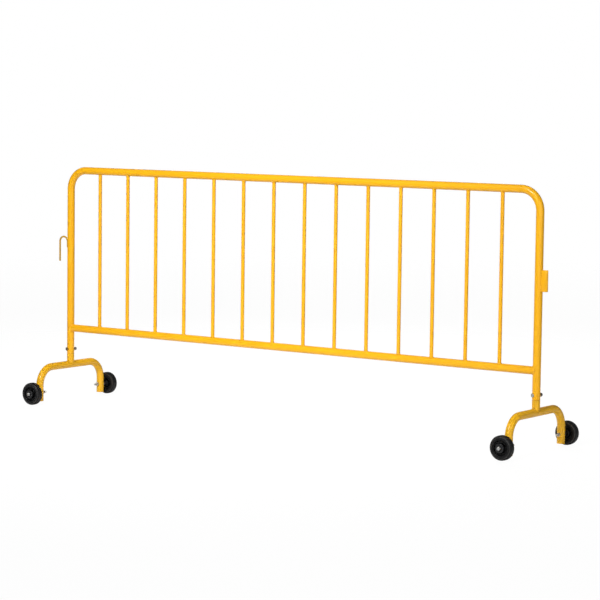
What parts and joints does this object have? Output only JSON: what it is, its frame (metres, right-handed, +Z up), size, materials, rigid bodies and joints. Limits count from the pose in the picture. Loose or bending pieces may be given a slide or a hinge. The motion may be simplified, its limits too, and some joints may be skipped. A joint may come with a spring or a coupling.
{
  "type": "crowd control barrier",
  "caption": "Bent tube barrier frame with upright pickets on bolted arch feet with wheels, and a hook and strap eye for linking.",
  "frame": {"origin": "on the floor, in the frame's plane, midway between the hook's outer edge and the far edge of the right-hand wheels, which is the centre of the bounding box's bottom", "axes": "+X along the frame from the hook's end to the eye's end, +Y towards the rear, +Z up"},
  "size_m": [2.6016, 0.5864, 1.0821],
  "materials": {
    "frame_paint": "semi-gloss amber powder coat",
    "foot_paint": "semi-gloss amber powder coat, slightly darker",
    "tyre_rubber": "matt black rubber",
    "wheel_moulding": "satin black moulding",
    "zinc_plate": "bright zinc plate"
  },
  "bodies": {
    "frame": {"frame_hoop": "frame_paint", "bottom_rail": "frame_paint", "picket_01": "frame_paint", "picket_02": "frame_paint", "picket_03": "frame_paint", "picket_04": "frame_paint", "picket_05": "frame_paint", "picket_06": "frame_paint", "picket_07": "frame_paint", "picket_08": "frame_paint", "picket_09": "frame_paint", "picket_10": "frame_paint", "picket_11": "frame_paint", "picket_12": "frame_paint", "picket_13": "frame_paint", "picket_14": "frame_paint", "coupling_hook": "frame_paint", "coupling_eye": "frame_paint", "left_foot_arch": "foot_paint", "left_foot_post": "foot_paint", "left_cross_bolt": "zinc_plate", "left_cross_nut": "zinc_plate", "right_foot_arch": "foot_paint", "right_foot_post": "foot_paint", "right_cross_bolt": "zinc_plate", "right_cross_nut": "zinc_plate", "front_left_bushing": "zinc_plate", "front_left_axle_spacer": "zinc_plate", "front_left_axle_bolt": "zinc_plate", "front_left_axle_nut": "zinc_plate", "front_right_bushing": "zinc_plate", "front_right_axle_spacer": "zinc_plate", "front_right_axle_bolt": "zinc_plate", "front_right_axle_nut": "zinc_plate", "rear_left_bushing": "zinc_plate", "rear_left_axle_spacer": "zinc_plate", "rear_left_axle_bolt": "zinc_plate", "rear_left_axle_nut": "zinc_plate", "rear_right_bushing": "zinc_plate", "rear_right_axle_spacer": "zinc_plate", "rear_right_axle_bolt": "zinc_plate", "rear_right_axle_nut": "zinc_plate"},
    "front_left_wheel": {"front_left_tyre": "tyre_rubber", "front_left_wheel_core": "wheel_moulding"},
    "front_right_wheel": {"front_right_tyre": "tyre_rubber", "front_right_wheel_core": "wheel_moulding"},
    "rear_left_wheel": {"rear_left_tyre": "tyre_rubber", "rear_left_wheel_core": "wheel_moulding"},
    "rear_right_wheel": {"rear_right_tyre": "tyre_rubber", "rear_right_wheel_core": "wheel_moulding"}
  },
  "joints": [
    {"name": "front_left_spin", "type": "hinge", "parent": "frame", "child": "front_left_wheel", "pos_m": [-1.23, -0.2648, 0.0508], "axis": [0, 1, 0], "continuous": true},
    {"name": "front_right_spin", "type": "hinge", "parent": "frame", "child": "front_right_wheel", "pos_m": [1.25, -0.2648, 0.0508], "axis": [0, 1, 0], "continuous": true},
    {"name": "rear_left_spin", "type": "hinge", "parent": "frame", "child": "rear_left_wheel", "pos_m": [-1.23, 0.2648, 0.0508], "axis": [0, 1, 0], "continuous": true},
    {"name": "rear_right_spin", "type": "hinge", "parent": "frame", "child": "rear_right_wheel", "pos_m": [1.25, 0.2648, 0.0508], "axis": [0, 1, 0], "continuous": true}
  ]
}
